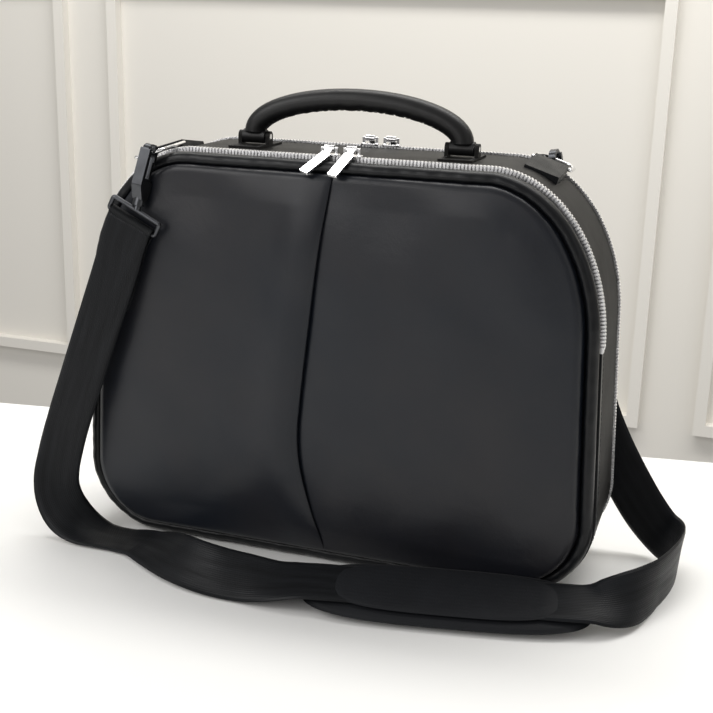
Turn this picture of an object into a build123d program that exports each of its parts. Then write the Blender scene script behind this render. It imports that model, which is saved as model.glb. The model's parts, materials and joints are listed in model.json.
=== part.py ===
from build123d import *
from math import cos, radians, sin
import os

# Soft-sided leather briefcase: gusset body, zipped front and back panels, hinged
# carry handle, and a webbing shoulder strap on two swivel snap hooks.
# Millimetres. X right, Y back, Z up, origin at the centre of the base on the floor.
os.makedirs("parts", exist_ok=True)

# ---------------------------------------------------------------- driving sizes
HEIGHT = 308.0
HALF_WIDTH_TOP = 197.0
HALF_WIDTH_BOTTOM = 203.0
TOP_CORNER_X = 85.0
TOP_CORNER_Z = 118.0
BOTTOM_CORNER = 60.0

GUSSET_Y = 38.8            # half depth of the gusset wall
GUSSET_WALL = 4.0
ZIP_Y = 42.0               # zip centre line, front and back
ZIP_GAP = 0.8              # between the two rows of one zip
STRIP_INNER_Y = 45.1       # rolled edge strip starts here
STRIP_OUTER_Y = 55.5
STRIP_DEPTH = 9.5
STRIP_ROUND = 7.5
PANEL_INNER_Y = 51.5
PANEL_FACE_Y = 61.5
PANEL_WALL = 4.0
PANEL_ROUND = 7.5
BACK_STRIP_OUTER_Y = 51.5
BACK_PANEL_INNER_Y = 48.5
BACK_PANEL_FACE_Y = 56.5
BACK_ROUND = 5.5

TEETH_PROUD = 0.6
TEETH_DEPTH = 4.0
TAPE_THICK = 1.0
FRONT_ZIP_END_Z = 190.0
BACK_ZIP_END_Z = 36.0
STOP_HEIGHT = 3.0

FRONT_FOLD_X, FRONT_FOLD_END = -116.0, (203.0, 190.0)
BACK_FOLD_X, BACK_FOLD_END = 116.0, (-203.0, 60.0)

HANDLE_PIVOT_Z = 315.5
HANDLE_LEG_X = 81.0
HANDLE_TOP_Z = 346.0       # centre line of the grip
HANDLE_FOOT_Z = 319.0      # the grip ends here, just above the pivot barrels
GRIP_RADIUS = 8.0
CORE_RADIUS = 4.0

SLIDER_LENGTH = 15.0
SLIDER_WIDTH = 9.0
BRIDGE_Z = 314.6
BRIDGE_RADIUS = 1.1
PULL_LENGTH = 31.0
PULL_WIDTH = 7.6
PULL_THICK = 1.9
PULL_EYE = 2.5
PULL_RISE = 0.35
PULL_DROP = 32.5           # below the horizontal, lying on the rolled edge

WEBBING_LOOP_WIDTH = 26.0
LOOP_X = 139.5
LOOP_TILT = 18.0
RING_WIRE = 1.3
RING_WIDTH = 30.0
RING_BAR_Y, RING_BAR_UP = -28.0, 4.6
RING_FRONT_Y, RING_FRONT_UP = -61.5, 2.7

STRAP_WIDTH = 37.0
STRAP_THICK = 2.2

PAD_LENGTH, PAD_WIDTH, PAD_THICK = 205.0, 58.0, 8.6
SLEEVE_LENGTH, SLEEVE_WIDTH = 160.0, 46.0
PAD_TILT = 17.0


# ---------------------------------------------------------------- shared shapes
def outline(inset=0.0):
    """Closed side profile of the bag, moved inwards by inset."""
    top, bottom = HALF_WIDTH_TOP - inset, HALF_WIDTH_BOTTOM - inset
    top_z, bottom_z = HEIGHT - TOP_CORNER_Z, BOTTOM_CORNER
    rx, rz, rb = TOP_CORNER_X - inset, TOP_CORNER_Z - inset, BOTTOM_CORNER - inset
    cx, cb = HALF_WIDTH_TOP - TOP_CORNER_X, HALF_WIDTH_BOTTOM - BOTTOM_CORNER
    with BuildLine() as line:
        Line((-cx, HEIGHT - inset), (cx, HEIGHT - inset))
        EllipticalCenterArc((cx, top_z), rx, rz, 0, arc_size=90)
        Line((top, top_z), (bottom, bottom_z))
        CenterArc((cb, bottom_z), rb, 270, 90)
        Line((cb, inset), (-cb, inset))
        CenterArc((-cb, bottom_z), rb, 180, 90)
        Line((-bottom, bottom_z), (-top, top_z))
        EllipticalCenterArc((-cx, top_z), rx, rz, 90, arc_size=90)
    return line.edges()


def side_plane(y):
    """Profile plane at depth y; extruding a positive amount goes towards -Y."""
    return Plane.XZ.offset(-y)


def band(y_front, y_back, outer, inner):
    """Ring following the outline between two insets and two depths."""
    with BuildPart() as ring:
        with BuildSketch(side_plane(y_back)):
            make_face(outline(outer))
            make_face(outline(inner), mode=Mode.SUBTRACT)
        extrude(amount=y_back - y_front)
    return ring.part


def fold_plane(x_top, end):
    """Plane through the fold line across a panel, its normal on the flap side."""
    along = Vector(end[0] - x_top, 0, end[1] - HEIGHT).normalized()
    normal = along.cross(Vector(0, 1, 0))
    normal = normal if normal.Z > 0 else -normal
    return Plane(origin=(x_top, 0, HEIGHT), x_dir=(0, 1, 0), z_dir=normal)


def level(z):
    """Horizontal cutting plane."""
    return Plane.XY.offset(z)


FRONT_FOLD = fold_plane(FRONT_FOLD_X, FRONT_FOLD_END)
BACK_FOLD = fold_plane(BACK_FOLD_X, BACK_FOLD_END)


# ---------------------------------------------------------------- gusset body
with BuildPart() as main_gusset:
    add(band(-GUSSET_Y, GUSSET_Y, 0, GUSSET_WALL))
main_gusset.part.label = "main_gusset"
export_step(main_gusset.part, "parts/main_gusset.step")

# below the zip ends the panels are sewn to the gusset by a plain leather band
with BuildPart() as front_gusset_band:
    add(band(-STRIP_INNER_Y, -GUSSET_Y, 0, GUSSET_WALL))
    split(bisect_by=level(FRONT_ZIP_END_Z - STOP_HEIGHT), keep=Keep.BOTTOM)
front_gusset_band.part.label = "front_gusset_band"
export_step(front_gusset_band.part, "parts/front_gusset_band.step")

with BuildPart() as back_gusset_band:
    add(band(GUSSET_Y, STRIP_INNER_Y, 0, GUSSET_WALL))
    split(bisect_by=level(BACK_ZIP_END_Z - STOP_HEIGHT), keep=Keep.BOTTOM)
back_gusset_band.part.label = "back_gusset_band"
export_step(back_gusset_band.part, "parts/back_gusset_band.step")

# ---------------------------------------------------------------- front panel
with BuildPart() as front_shell:
    with BuildSketch(side_plane(-PANEL_INNER_Y)):
        make_face(outline(STRIP_DEPTH))
    extrude(amount=PANEL_FACE_Y - PANEL_INNER_Y)
    fillet(front_shell.faces().sort_by(Axis.Y)[0].edges(), PANEL_ROUND)
    with BuildSketch(side_plane(-PANEL_INNER_Y)):
        make_face(outline(STRIP_DEPTH + 6))
    extrude(amount=PANEL_FACE_Y - PANEL_INNER_Y - PANEL_WALL, mode=Mode.SUBTRACT)

with BuildPart() as front_edge:
    add(band(-STRIP_OUTER_Y, -STRIP_INNER_Y, 0, STRIP_DEPTH))
    rim = front_edge.faces().sort_by(Axis.Y)[0].outer_wire()
    fillet(rim.edges(), STRIP_ROUND)

with BuildPart() as front_panel:
    add(front_shell.part)
    split(bisect_by=FRONT_FOLD, keep=Keep.BOTTOM)
front_panel.part.label = "front_panel"
export_step(front_panel.part, "parts/front_panel.step")

with BuildPart() as front_panel_flap:
    add(front_shell.part)
    split(bisect_by=FRONT_FOLD, keep=Keep.TOP)
front_panel_flap.part.label = "front_panel_flap"
export_step(front_panel_flap.part, "parts/front_panel_flap.step")

with BuildPart() as front_strip:
    add(front_edge.part)
    split(bisect_by=FRONT_FOLD, keep=Keep.BOTTOM)
front_strip.part.label = "front_strip"
export_step(front_strip.part, "parts/front_strip.step")

with BuildPart() as front_strip_flap:
    add(front_edge.part)
    split(bisect_by=FRONT_FOLD, keep=Keep.TOP)
front_strip_flap.part.label = "front_strip_flap"
export_step(front_strip_flap.part, "parts/front_strip_flap.step")

# ---------------------------------------------------------------- back panel
with BuildPart() as back_shell:
    with BuildSketch(side_plane(BACK_PANEL_FACE_Y)):
        make_face(outline(STRIP_DEPTH))
    extrude(amount=BACK_PANEL_FACE_Y - BACK_PANEL_INNER_Y)
    fillet(back_shell.faces().sort_by(Axis.Y)[-1].edges(), BACK_ROUND)
    with BuildSketch(side_plane(BACK_PANEL_FACE_Y - PANEL_WALL)):
        make_face(outline(STRIP_DEPTH + 6))
    extrude(amount=BACK_PANEL_FACE_Y - BACK_PANEL_INNER_Y - PANEL_WALL, mode=Mode.SUBTRACT)

with BuildPart() as back_edge:
    add(band(STRIP_INNER_Y, BACK_STRIP_OUTER_Y, 0, STRIP_DEPTH))
    rim = back_edge.faces().sort_by(Axis.Y)[-1].outer_wire()
    fillet(rim.edges(), BACK_ROUND)

with BuildPart() as back_panel_lower:
    add(back_shell.part)
    split(bisect_by=BACK_FOLD, keep=Keep.BOTTOM)
back_panel_lower.part.label = "back_panel_lower"
export_step(back_panel_lower.part, "parts/back_panel_lower.step")

with BuildPart() as back_panel_flap:
    add(back_shell.part)
    split(bisect_by=BACK_FOLD, keep=Keep.TOP)
back_panel_flap.part.label = "back_panel_flap"
export_step(back_panel_flap.part, "parts/back_panel_flap.step")

with BuildPart() as back_strip_lower:
    add(back_edge.part)
    split(bisect_by=BACK_FOLD, keep=Keep.BOTTOM)
back_strip_lower.part.label = "back_strip_lower"
export_step(back_strip_lower.part, "parts/back_strip_lower.step")

with BuildPart() as back_strip_flap:
    add(back_edge.part)
    split(bisect_by=BACK_FOLD, keep=Keep.TOP)
back_strip_flap.part.label = "back_strip_flap"
export_step(back_strip_flap.part, "parts/back_strip_flap.step")

# ---------------------------------------------------------------- zip rows and tapes
HALF_GAP = ZIP_GAP / 2
ROW_INNER, ROW_OUTER = -TEETH_PROUD, TEETH_DEPTH

with BuildPart() as front_zip_row_body:
    add(band(-ZIP_Y + HALF_GAP, -GUSSET_Y, ROW_INNER, ROW_OUTER))
    split(bisect_by=level(FRONT_ZIP_END_Z), keep=Keep.TOP)
front_zip_row_body.part.label = "front_zip_row_body"
export_step(front_zip_row_body.part, "parts/front_zip_row_body.step")

with BuildPart() as front_panel_row:
    add(band(-STRIP_INNER_Y, -ZIP_Y - HALF_GAP, ROW_INNER, ROW_OUTER))
    split(bisect_by=level(FRONT_ZIP_END_Z), keep=Keep.TOP)

with BuildPart() as front_zip_row_fixed:
    add(front_panel_row.part)
    split(bisect_by=FRONT_FOLD, keep=Keep.BOTTOM)
front_zip_row_fixed.part.label = "front_zip_row_fixed"
export_step(front_zip_row_fixed.part, "parts/front_zip_row_fixed.step")

with BuildPart() as front_zip_row_flap:
    add(front_panel_row.part)
    split(bisect_by=FRONT_FOLD, keep=Keep.TOP)
front_zip_row_flap.part.label = "front_zip_row_flap"
export_step(front_zip_row_flap.part, "parts/front_zip_row_flap.step")

with BuildPart() as back_zip_row_body:
    add(band(GUSSET_Y, ZIP_Y - HALF_GAP, ROW_INNER, ROW_OUTER))
    split(bisect_by=level(BACK_ZIP_END_Z), keep=Keep.TOP)
back_zip_row_body.part.label = "back_zip_row_body"
export_step(back_zip_row_body.part, "parts/back_zip_row_body.step")

with BuildPart() as back_panel_row:
    add(band(ZIP_Y + HALF_GAP, STRIP_INNER_Y, ROW_INNER, ROW_OUTER))
    split(bisect_by=level(BACK_ZIP_END_Z), keep=Keep.TOP)

with BuildPart() as back_zip_row_fixed:
    add(back_panel_row.part)
    split(bisect_by=BACK_FOLD, keep=Keep.BOTTOM)
back_zip_row_fixed.part.label = "back_zip_row_fixed"
export_step(back_zip_row_fixed.part, "parts/back_zip_row_fixed.step")

with BuildPart() as back_zip_row_flap:
    add(back_panel_row.part)
    split(bisect_by=BACK_FOLD, keep=Keep.TOP)
back_zip_row_flap.part.label = "back_zip_row_flap"
export_step(back_zip_row_flap.part, "parts/back_zip_row_flap.step")

TAPE_INNER, TAPE_OUTER = TEETH_DEPTH, TEETH_DEPTH + TAPE_THICK
TAPE_REACH = 5.5           # how far the tape runs in under the gusset

with BuildPart() as front_zip_tape_body:
    add(band(-ZIP_Y + HALF_GAP, -GUSSET_Y + TAPE_REACH, TAPE_INNER, TAPE_OUTER))
    split(bisect_by=level(FRONT_ZIP_END_Z - 12), keep=Keep.TOP)
front_zip_tape_body.part.label = "front_zip_tape_body"
export_step(front_zip_tape_body.part, "parts/front_zip_tape_body.step")

with BuildPart() as front_panel_tape:
    add(band(-STRIP_INNER_Y, -ZIP_Y - HALF_GAP, TAPE_INNER, TAPE_OUTER))
    split(bisect_by=level(FRONT_ZIP_END_Z), keep=Keep.TOP)

with BuildPart() as front_zip_tape_fixed:
    add(front_panel_tape.part)
    split(bisect_by=FRONT_FOLD, keep=Keep.BOTTOM)
front_zip_tape_fixed.part.label = "front_zip_tape_fixed"
export_step(front_zip_tape_fixed.part, "parts/front_zip_tape_fixed.step")

with BuildPart() as front_zip_tape_flap:
    add(front_panel_tape.part)
    split(bisect_by=FRONT_FOLD, keep=Keep.TOP)
front_zip_tape_flap.part.label = "front_zip_tape_flap"
export_step(front_zip_tape_flap.part, "parts/front_zip_tape_flap.step")

with BuildPart() as back_zip_tape_body:
    add(band(GUSSET_Y - TAPE_REACH, ZIP_Y - HALF_GAP, TAPE_INNER, TAPE_OUTER))
    split(bisect_by=level(BACK_ZIP_END_Z - 6), keep=Keep.TOP)
back_zip_tape_body.part.label = "back_zip_tape_body"
export_step(back_zip_tape_body.part, "parts/back_zip_tape_body.step")

with BuildPart() as back_panel_tape:
    add(band(ZIP_Y + HALF_GAP, STRIP_INNER_Y, TAPE_INNER, TAPE_OUTER))
    split(bisect_by=level(BACK_ZIP_END_Z), keep=Keep.TOP)

with BuildPart() as back_zip_tape_flap:
    add(back_panel_tape.part)
    split(bisect_by=BACK_FOLD, keep=Keep.TOP)
back_zip_tape_flap.part.label = "back_zip_tape_flap"
export_step(back_zip_tape_flap.part, "parts/back_zip_tape_flap.step")

# end stops close the short gap between the two rows and the sewn band below
with BuildPart() as front_stop_pair:
    add(band(-STRIP_INNER_Y, -GUSSET_Y, -TEETH_PROUD, TEETH_DEPTH))
    split(bisect_by=level(FRONT_ZIP_END_Z), keep=Keep.BOTTOM)
    split(bisect_by=level(FRONT_ZIP_END_Z - STOP_HEIGHT), keep=Keep.TOP)

with BuildPart() as back_stop_pair:
    add(band(GUSSET_Y, STRIP_INNER_Y, -TEETH_PROUD, TEETH_DEPTH))
    split(bisect_by=level(BACK_ZIP_END_Z), keep=Keep.BOTTOM)
    split(bisect_by=level(BACK_ZIP_END_Z - STOP_HEIGHT), keep=Keep.TOP)

with BuildPart() as zip_stops:
    add(front_stop_pair.part)
    add(back_stop_pair.part)
zip_stops.part.label = "zip_stops"
export_step(zip_stops.part, "parts/zip_stops.step")

# ---------------------------------------------------------------- inside
DIVIDER_Y = -33.0
DIVIDER_THICK = 2.0
SLEEVE_WALL_Y = 22.0

with BuildPart() as divider_panel:
    with BuildSketch(side_plane(DIVIDER_Y + DIVIDER_THICK)):
        make_face(outline(GUSSET_WALL))
    extrude(amount=DIVIDER_THICK)
divider_panel.part.label = "divider_panel"
export_step(divider_panel.part, "parts/divider_panel.step")

with BuildPart() as organizer_pocket:
    with BuildSketch(side_plane(DIVIDER_Y)):
        with Locations((0, 95)):
            RectangleRounded(290, 130, 12)
    extrude(amount=4.5)
    with BuildSketch(Plane.XY.offset(160)):
        with Locations((0, DIVIDER_Y - 2.2)):
            Rectangle(278, 1.6)
    extrude(amount=-120, mode=Mode.SUBTRACT)
organizer_pocket.part.label = "organizer_pocket"
export_step(organizer_pocket.part, "parts/organizer_pocket.step")

with BuildPart() as base_board:
    with BuildSketch(Plane.XY.offset(GUSSET_WALL)):
        with Locations((0, (DIVIDER_Y + DIVIDER_THICK + SLEEVE_WALL_Y) / 2)):
            Rectangle(270, SLEEVE_WALL_Y - DIVIDER_Y - DIVIDER_THICK - 1)
    extrude(amount=2.5)
base_board.part.label = "base_board"
export_step(base_board.part, "parts/base_board.step")

with BuildPart() as laptop_sleeve:
    with BuildSketch(side_plane(SLEEVE_WALL_Y + 3)):
        with BuildLine():
            Polyline((-135, 4), (135, 4), (170, 40), (170, 225), (-170, 225),
                     (-170, 40), (-135, 4))
        make_face()
    extrude(amount=3)
laptop_sleeve.part.label = "laptop_sleeve"
export_step(laptop_sleeve.part, "parts/laptop_sleeve.step")

# ---------------------------------------------------------------- carry handle
TAB_THICK = 1.6
EAR_THICK = 3.0
BARREL_LENGTH = 18.0
BARREL_RADIUS = 5.2
ROD_RADIUS = 2.0
ROD_CLEARANCE = 0.06
EAR_X = BARREL_LENGTH / 2 + 0.6


def cross_plane(x):
    """Plane facing +X at x, its own x along +Y and its own y along +Z."""
    return Plane(origin=(x, 0, 0), x_dir=(0, 1, 0), z_dir=(1, 0, 0))


with BuildPart() as handle_tab_left:
    with Locations((-HANDLE_LEG_X, 0, HEIGHT + TAB_THICK / 2)):
        Box(2 * (EAR_X + EAR_THICK), 44, TAB_THICK)
    for x in (-HANDLE_LEG_X - EAR_X - EAR_THICK, -HANDLE_LEG_X + EAR_X):
        with BuildSketch(cross_plane(x)):
            with Locations((0, (HEIGHT + HANDLE_PIVOT_Z) / 2)):
                Rectangle(8, HANDLE_PIVOT_Z - HEIGHT)
            with Locations((0, HANDLE_PIVOT_Z)):
                Circle(4)
            with Locations((0, HANDLE_PIVOT_Z)):
                Circle(ROD_RADIUS, mode=Mode.SUBTRACT)
        extrude(amount=EAR_THICK)
handle_tab_left.part.label = "handle_tab_left"
export_step(handle_tab_left.part, "parts/handle_tab_left.step")

with BuildPart() as handle_rods:
    for x in (-HANDLE_LEG_X, HANDLE_LEG_X):
        with BuildSketch(cross_plane(x - EAR_X - EAR_THICK)):
            with Locations((0, HANDLE_PIVOT_Z)):
                Circle(ROD_RADIUS)
        extrude(amount=2 * (EAR_X + EAR_THICK))
handle_rods.part.label = "handle_rods"
export_step(handle_rods.part, "parts/handle_rods.step")

with BuildPart() as handle_end_left:
    with BuildSketch(cross_plane(-HANDLE_LEG_X - BARREL_LENGTH / 2)):
        with Locations((0, HANDLE_PIVOT_Z)):
            Circle(BARREL_RADIUS)
            Circle(ROD_RADIUS + ROD_CLEARANCE, mode=Mode.SUBTRACT)
    extrude(amount=BARREL_LENGTH)
handle_end_left.part.label = "handle_end_left"
export_step(handle_end_left.part, "parts/handle_end_left.step")

with BuildPart() as handle_tab_right:
    add(handle_tab_left.part.rotate(Axis.Z, 180))
handle_tab_right.part.label = "handle_tab_right"
export_step(handle_tab_right.part, "parts/handle_tab_right.step")

with BuildPart() as handle_end_right:
    add(handle_end_left.part.rotate(Axis.Z, 180))
handle_end_right.part.label = "handle_end_right"
export_step(handle_end_right.part, "parts/handle_end_right.step")


def grip_path():
    """Half ellipse of the carry handle's centre line, from foot to foot."""
    with BuildLine(Plane.XZ) as line:
        EllipticalCenterArc((0, HANDLE_FOOT_Z), HANDLE_LEG_X, HANDLE_TOP_Z - HANDLE_FOOT_Z,
                            0, arc_size=180)
    return line.line


def grip_rod(radius):
    """Round bar of the given radius along the handle's arch."""
    path = grip_path()
    with BuildPart() as rod:
        with BuildSketch(Plane(origin=path @ 0, z_dir=path % 0)):
            Circle(radius)
        sweep(path=path)
    return rod.part


with BuildPart() as handle_core:
    add(grip_rod(CORE_RADIUS))
    for x in (-HANDLE_LEG_X, HANDLE_LEG_X):
        with Locations((x, 0, HANDLE_PIVOT_Z)):
            Cylinder(BARREL_RADIUS, 2 * BARREL_LENGTH, rotation=(0, 90, 0),
                     mode=Mode.SUBTRACT)
handle_core.part.label = "handle_core"
export_step(handle_core.part, "parts/handle_core.step")

with BuildPart() as handle_grip:
    add(grip_rod(GRIP_RADIUS))
    add(grip_rod(CORE_RADIUS), mode=Mode.SUBTRACT)
    for x in (-HANDLE_LEG_X, HANDLE_LEG_X):
        with Locations((x, 0, HANDLE_PIVOT_Z)):
            Cylinder(BARREL_RADIUS, 2 * BARREL_LENGTH, rotation=(0, 90, 0),
                     mode=Mode.SUBTRACT)
handle_grip.part.label = "handle_grip"
export_step(handle_grip.part, "parts/handle_grip.step")

# ---------------------------------------------------------------- sliders and pulls
PLATE_LOW, PLATE_HIGH = HEIGHT + TEETH_PROUD + 0.4, HEIGHT + TEETH_PROUD + 2.2
UNDER_HIGH = HEIGHT - TEETH_DEPTH - TAPE_THICK - 0.4


def slider(x, y_post, flap_side):
    """Zip slider at x; flap_side is -1 when the flap row is in front of the post."""
    with BuildPart() as body:
        with Locations((x, y_post, (PLATE_LOW + PLATE_HIGH) / 2)):
            Box(SLIDER_LENGTH, SLIDER_WIDTH, PLATE_HIGH - PLATE_LOW)
        fillet(body.edges().filter_by(Axis.Z), 3.2)
        fillet(body.faces().sort_by(Axis.Z)[-1].edges(), 0.6)
        with Locations((x, y_post, (PLATE_LOW + UNDER_HIGH) / 2)):
            Box(5, 0.5, PLATE_LOW - UNDER_HIGH + 1)
        with Locations((x, y_post + flap_side * 1.55, UNDER_HIGH - 0.6)):
            Box(SLIDER_LENGTH - 2, 2.9, 1.2)
        for side in (-1, 1):
            with Locations((x + side * 5.4, y_post, (PLATE_HIGH + BRIDGE_Z) / 2)):
                Box(1.8, 2 * BRIDGE_RADIUS, BRIDGE_Z - PLATE_HIGH + 0.4)
        with Locations((x, y_post, BRIDGE_Z)):
            Cylinder(BRIDGE_RADIUS, 12.6, rotation=(0, 90, 0))
    return body.part


def pull(x, y_post, facing, lean):
    """Flat bar pull hanging from the bridge; facing is -1 for the front zip."""
    normal = (0, facing * sin(radians(PULL_DROP)), cos(radians(PULL_DROP)))
    hang = Plane(origin=(x, y_post, BRIDGE_Z), x_dir=(-facing, 0, 0), z_dir=normal)
    across = Plane(origin=hang.origin, x_dir=hang.y_dir, z_dir=hang.x_dir)
    with BuildPart() as bar:
        with BuildSketch(across):
            Circle(PULL_EYE)
        extrude(amount=3.7, both=True)
        with BuildSketch(hang.offset(PULL_RISE - PULL_THICK / 2)):
            with Locations((0, -4.6)):
                Rectangle(4.6, 6.4)
            with Locations(Location((0, -6.5), lean)):
                with Locations((0, -(PULL_LENGTH - 6.5) / 2)):
                    RectangleRounded(PULL_WIDTH, PULL_LENGTH - 6.5, 0.9)
        extrude(amount=PULL_THICK)
        with BuildSketch(across):
            Circle(BRIDGE_RADIUS + 0.08)
        extrude(amount=5, both=True, mode=Mode.SUBTRACT)
    return bar.part


FRONT_LEFT_X, FRONT_RIGHT_X = -5.5, 11.5
BACK_LEFT_X, BACK_RIGHT_X = -2.5, 14.5

with BuildPart() as front_slider_left:
    add(slider(FRONT_LEFT_X, -ZIP_Y, -1))
front_slider_left.part.label = "front_slider_left"
export_step(front_slider_left.part, "parts/front_slider_left.step")

with BuildPart() as front_slider_right:
    add(slider(FRONT_RIGHT_X, -ZIP_Y, -1))
front_slider_right.part.label = "front_slider_right"
export_step(front_slider_right.part, "parts/front_slider_right.step")

with BuildPart() as back_slider_left:
    add(slider(BACK_LEFT_X, ZIP_Y, 1))
back_slider_left.part.label = "back_slider_left"
export_step(back_slider_left.part, "parts/back_slider_left.step")

with BuildPart() as back_slider_right:
    add(slider(BACK_RIGHT_X, ZIP_Y, 1))
back_slider_right.part.label = "back_slider_right"
export_step(back_slider_right.part, "parts/back_slider_right.step")

with BuildPart() as front_pull_left:
    add(pull(FRONT_LEFT_X, -ZIP_Y, -1, -26))
front_pull_left.part.label = "front_pull_left"
export_step(front_pull_left.part, "parts/front_pull_left.step")

with BuildPart() as front_pull_right:
    add(pull(FRONT_RIGHT_X, -ZIP_Y, -1, -14))
front_pull_right.part.label = "front_pull_right"
export_step(front_pull_right.part, "parts/front_pull_right.step")

with BuildPart() as back_pull_left:
    add(pull(BACK_LEFT_X, ZIP_Y, 1, -8))
back_pull_left.part.label = "back_pull_left"
export_step(back_pull_left.part, "parts/back_pull_left.step")

with BuildPart() as back_pull_right:
    add(pull(BACK_RIGHT_X, ZIP_Y, 1, 9))
back_pull_right.part.label = "back_pull_right"
export_step(back_pull_right.part, "parts/back_pull_right.step")

# ---------------------------------------------------------------- webbing loops, D-rings
LOOP_TANGENT = Vector(cos(radians(LOOP_TILT)), 0, sin(radians(LOOP_TILT)))
LOOP_OUT = Vector(-sin(radians(LOOP_TILT)), 0, cos(radians(LOOP_TILT)))
LOOP_FOOT = Vector(-LOOP_X, 0, 301.6)
WEB_THICK = 1.3

loop_section = Plane(origin=LOOP_FOOT, x_dir=(0, 1, 0), z_dir=LOOP_TANGENT)

with BuildPart() as strap_loop_left:
    with BuildSketch(loop_section):
        with Locations((RING_BAR_Y, RING_BAR_UP)):
            Circle(RING_WIRE + 0.08 + WEB_THICK)
        with BuildLine():
            Polyline((RING_BAR_Y, RING_BAR_UP + RING_WIRE + 0.08 + WEB_THICK),
                     (6, 2.6), (6, -8), (RING_BAR_Y + 3, -8),
                     (RING_BAR_Y, RING_BAR_UP - RING_WIRE - 0.08 - WEB_THICK),
                     (RING_BAR_Y, RING_BAR_UP + RING_WIRE + 0.08 + WEB_THICK))
        make_face()
        with Locations((RING_BAR_Y, RING_BAR_UP)):
            Circle(RING_WIRE + 0.08, mode=Mode.SUBTRACT)
    extrude(amount=WEBBING_LOOP_WIDTH / 2, both=True)
    with BuildSketch(side_plane(20)):
        make_face(outline(0))
    extrude(amount=80, mode=Mode.SUBTRACT)
strap_loop_left.part.label = "strap_loop_left"
export_step(strap_loop_left.part, "parts/strap_loop_left.step")

with BuildPart() as strap_loop_right:
    add(strap_loop_left.part.rotate(Axis.Z, 180))
strap_loop_right.part.label = "strap_loop_right"
export_step(strap_loop_right.part, "parts/strap_loop_right.step")

ring_back = LOOP_FOOT + LOOP_OUT * RING_BAR_UP + Vector(0, RING_BAR_Y, 0)
ring_front = LOOP_FOOT + LOOP_OUT * RING_FRONT_UP + Vector(0, RING_FRONT_Y, 0)
ring_run = (ring_front - ring_back).length
ring_normal = LOOP_TANGENT.cross(ring_front - ring_back).normalized()
ring_plane = Plane(origin=ring_back, x_dir=LOOP_TANGENT, z_dir=ring_normal)


def wire_ring(plane, corners, radii, wire):
    """Closed ring of round wire through the corners of a plane."""
    with BuildLine(plane) as line:
        FilletPolyline(*corners, radius=radii, close=True)
    path = line.wires()[0]
    with BuildPart() as ring:
        with BuildSketch(Plane(origin=path @ 0, z_dir=path % 0)):
            Circle(wire)
        sweep(path=path)
    return ring.part


RING_HALF, RING_NARROW = RING_WIDTH / 2, RING_WIDTH * 0.36
RING_CORNERS = [(RING_HALF, 0), (RING_HALF, ring_run * 0.55), (RING_NARROW, ring_run),
                (-RING_NARROW, ring_run), (-RING_HALF, ring_run * 0.55), (-RING_HALF, 0)]

with BuildPart() as dring_left:
    add(wire_ring(ring_plane, RING_CORNERS, [1.9, 9, 5, 5, 9, 1.9], RING_WIRE))
dring_left.part.label = "dring_left"
export_step(dring_left.part, "parts/dring_left.step")

with BuildPart() as dring_right:
    add(dring_left.part.rotate(Axis.Z, 180))
dring_right.part.label = "dring_right"
export_step(dring_right.part, "parts/dring_right.step")

# ---------------------------------------------------------------- swivel snap hooks
SWIVEL = Vector(-144.5, -72, 264)
HOOK_OVER = Vector(-137.0, RING_FRONT_Y, LOOP_FOOT.Z + 3.4)
hook_axis = (HOOK_OVER - SWIVEL).normalized()
hook_reach = (HOOK_OVER - SWIVEL).length
hook_normal = (LOOP_TANGENT - hook_axis * LOOP_TANGENT.dot(hook_axis)).normalized()
hook_plane = Plane(origin=SWIVEL, x_dir=hook_axis.cross(hook_normal), z_dir=hook_normal)
swivel_plane = Plane(origin=SWIVEL, x_dir=hook_normal, z_dir=hook_axis)

SPINE_OUT, SPINE_IN = -9.0, -5.8
NOSE_IN, NOSE_OUT = 2.2, 4.7
CROOK_TOP = hook_reach + 6.4
CROOK_ROOM = CROOK_TOP - 2.8
BASE_TOP = 24.0
BARREL_LOW, BARREL_HIGH = 3.6, 10.0
GATE_PIVOT = (2.6, 18.5)
GATE_TOP = 36.4

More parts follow.
